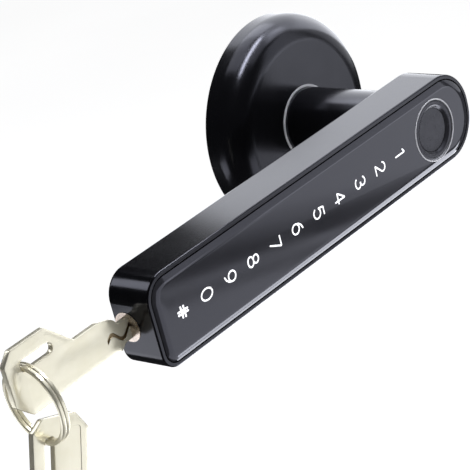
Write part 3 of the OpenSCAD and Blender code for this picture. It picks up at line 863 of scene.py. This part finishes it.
def make_ring():
    """Nearly two turns of flattened wire; it steps from one side to the other once, beside its free ends."""
    r = COIL_R - WIRE_R
    flat, corner = 0.33, 0.26  # half of the wire's flat sides, and its corner radius
    section = []
    for cx, cy, start in ((flat, flat, 0), (-flat, flat, 90), (-flat, -flat, 180), (flat, -flat, 270)):
        section += arc(cx, cy, corner, start, start + 90, 4)
    rings = []
    count = 220
    begin = 62.0
    sweep = 720 - 26
    step_start, step_span = 322, 50  # where the wire steps over, in degrees along it
    offset = 0.585  # each turn's distance from the ring's middle plane
    yaw = Matrix.Rotation(RING_YAW, 3, "Z")
    middle = Vector((COIL_X, COIL_Y, COIL_Z))
    for i in range(count + 1):
        t = i / count
        angle = begin + t * sweep
        along = angle - begin
        step = min(max((along - step_start) / step_span, 0), 1)
        x = -offset + 2 * offset * (step * step * (3 - 2 * step))
        a = math.radians(angle)
        shrink = min(1.0, 0.55 + min(t, 1 - t) * 120)
        out = Vector((0, math.cos(a), math.sin(a)))
        centre = Vector((x, 0, 0)) + out * r
        local = [centre + Vector((1, 0, 0)) * p[0] * shrink + out * p[1] * shrink for p in section]
        rings.append([tuple(middle + yaw @ p) for p in local])
    verts, faces = skin(rings)
    n = len(section)
    faces.append(tuple(range(n)))
    faces.append(tuple(range(len(verts) - n, len(verts))))
    piece = new_piece("split_ring_coil", verts, faces, MATERIALS["key_nickel"], "keyring", 40)
    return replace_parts(piece, "split_ring")


make_ring()


# ---- studio ----

FLOOR_Z = -0.3
UP, DOWN, ALONG = (0, 0, 1), (0, 0, -1), (1, 0, 0)


def softbox(name, place, faces, level, size, radiance, colour=(0.93, 0.95, 1.0)):
    """Rectangular area light: place, facing, direction of its width, size and how bright it looks."""
    light = bpy.data.lights.new(name, "AREA")
    light.shape = "RECTANGLE"
    light.size, light.size_y = size
    light.energy = radiance * math.pi * size[0] * size[1]
    light.color = colour
    lamp = bpy.data.objects.new(name, light)
    bpy.context.scene.collection.objects.link(lamp)
    away = -Vector(faces).normalized()
    across = (Vector(level) - away * away.dot(Vector(level))).normalized()
    turn = Matrix.Identity(4)
    for i, axis in enumerate((across, away.cross(across), away)):
        turn.col[i] = (*axis, 0)
    turn.translation = Vector(place)
    lamp.matrix_world = turn
    lamp.visible_camera = False
    return lamp


def studio():
    """White backdrop, pale floor and the soft boxes that the black coat and the glass reflect."""
    world = bpy.data.worlds.new("studio")
    bpy.context.scene.world = world
    world.use_nodes = True
    tree = world.node_tree
    tree.nodes.clear()
    out = tree.nodes.new("ShaderNodeOutputWorld")
    mix = tree.nodes.new("ShaderNodeMixShader")
    path = tree.nodes.new("ShaderNodeLightPath")
    room = tree.nodes.new("ShaderNodeBackground")
    white = tree.nodes.new("ShaderNodeBackground")
    room.inputs["Color"].default_value = (0.9, 0.93, 1, 1)
    room.inputs["Strength"].default_value = 0.03
    white.inputs["Color"].default_value = (1, 1, 1, 1)
    white.inputs["Strength"].default_value = 1.02
    tree.links.new(path.outputs["Is Camera Ray"], mix.inputs[0])
    tree.links.new(room.outputs[0], mix.inputs[1])
    tree.links.new(white.outputs[0], mix.inputs[2])
    tree.links.new(mix.outputs[0], out.inputs["Surface"])

    # pale floor well below the lock
    bpy.ops.mesh.primitive_plane_add(size=6, location=(0, 0, FLOOR_Z))
    floor = bpy.context.object
    floor.name = "floor"
    look = Shader("floor_paint", specular=0.1)
    colour = look.mottle(3, 3, (0.92, 0.92, 0.92), (0.95, 0.95, 0.95))
    look.link(colour, look.bsdf.inputs["Emission Color"])
    look.bsdf.inputs["Emission Strength"].default_value = 1.0
    look.bump(look.noise(200, 3), 0.1, 0.0002)
    floor.data.materials.append(look.done(colour, 0.8))
    floor.visible_glossy = False

    # just behind the rose, up and to its right: seen in the lever's top face
    back_facing, back_level = (-0.638, -0.665, -0.389), (0.438, -0.728, 0.527)
    softbox("back_box", (0.030, 0.016, 0.033), back_facing, back_level, (0.204, 0.095), 2.45)
    # front right, low: three stacked boxes make the soft upper edge of the dark band on the panel
    panel_facing, panel_level = (-0.638, 0.665, 0.389), (0.697, 0.713, -0.075)
    softbox("front_a", (0.499, -0.533, -0.201), panel_facing, panel_level, (0.249, 0.174), 0.5)
    softbox("front_b", (0.497, -0.532, -0.205), panel_facing, panel_level, (0.249, 0.182), 0.5)
    softbox("front_c", (0.496, -0.532, -0.208), panel_facing, panel_level, (0.249, 0.189), 0.5)
    # below the dark band: a narrow bright strip, a dip, then the box that the keys see
    softbox("strip_bright", (0.411, -0.553, -0.31), panel_facing, panel_level, (0.293, 0.009), 1.4)
    softbox("strip_dim", (0.408, -0.551, -0.32), panel_facing, panel_level, (0.293, 0.011), 0.45)
    softbox("front_low", (0.16, -0.67, -0.524), panel_facing, panel_level, (0.701, 0.474), 1.4)
    softbox("front_left", (0.205, -0.837, -0.164), panel_facing, panel_level, (0.472, 0.291), 1.4)
    softbox("front_mid", (0.414, -0.533, 0.09), (-0.6, 0.78, -0.13), (0.87, 0.49, 0), (0.3, 0.52), 1.1)
    # right side: keeps the far edge of the rose as light as its face
    softbox("right_box", (0.65, -0.1, 0.08), (-1, 0.15, -0.1), (0.15, 1, 0), (0.6, 0.5), 0.9)
    # close above the rose: its rounded rim
    softbox("rim_top", (0.07, 0.05, 0.18), DOWN, ALONG, (0.14, 0.12), 2.6)
    softbox("rim_left", (-0.04, 0.03, 0.18), DOWN, ALONG, (0.08, 0.14), 1.8)
    # narrow and bright, for the thin line of light on that rim, and a wider one where the rim turns down
    softbox("rim_line", (-0.005, -0.08, 0.208), (0, 0.4, -1), (1, 0.3, 0.15), (0.17, 0.028), 26.0)
    softbox("rim_turn", (0.118, -0.102, 0.158), (-0.6, 0.46, -0.64), (0.85, 0.4, -0.4), (0.08, 0.075), 2.8)
    # high in front: the soft turn from rim to face, and the neck
    softbox("high_front", (0.21, -0.31, 0.486), (-0.35, 0.5, -0.76), (1, 0.7, 0), (0.5, 0.25), 1.0)
    # end face: a band across the upper corner and the lower half
    softbox("end_band", (-0.18, 0.053, 0.1075), (-0.6, -0.72, -0.35), (-0.62, 0.69, -0.36), (0.09, 0.08), 3.2)
    softbox("end_low", (-0.231, 0.085, -0.107), (0.6, -0.68, 0.42), (0.7, 0.65, 0), (0.13, 0.065), 2.0)
    # low strip for the panel's lower edge
    low_facing, low_level = (-0.65, 0.37, 0.66), (0.224, 0.036, 0.071)
    softbox("low_strip", (0.41, -0.318, -0.465), low_facing, low_level, (0.34, 0.14), 6.0)
    # under the lever: the rounded outer edge of the panel, brightest at its rim
    softbox("low_edge", (0.16, -0.035, -0.25), UP, ALONG, (0.28, 0.07), 11.0)
    softbox("low_fill", (0.16, -0.11, -0.25), UP, ALONG, (0.28, 0.08), 5.0)


def camera():
    """Fitted to the photograph's perspective."""
    azimuth, elevation, roll = math.radians(-43.815), math.radians(22.886), math.radians(-14.893)
    distance = 0.567807
    target = Vector((-0.062417, -0.033425, -0.005543))
    flat = math.cos(elevation)
    back = Vector((math.sin(azimuth) * flat, -math.cos(azimuth) * flat, math.sin(elevation)))
    level = Vector((math.cos(azimuth), math.sin(azimuth), 0))
    rise = back.cross(level)
    right = level * math.cos(roll) + rise * math.sin(roll)
    up = rise * math.cos(roll) - level * math.sin(roll)
    data = bpy.data.cameras.new("camera")
    data.sensor_fit = "HORIZONTAL"
    data.sensor_width = 36
    data.lens = 156.19
    data.clip_start = 0.01
    data.clip_end = 20
    made = bpy.data.objects.new("camera", data)
    bpy.context.scene.collection.objects.link(made)
    place = Matrix.Identity(4)
    for i, axis in enumerate((right, up, back)):
        place.col[i] = (*axis, 0)
    place.translation = target + back * distance
    made.matrix_world = place
    bpy.context.scene.camera = made


studio()
camera()
bpy.context.scene.view_settings.view_transform = "Standard"
bpy.context.view_layer.update()
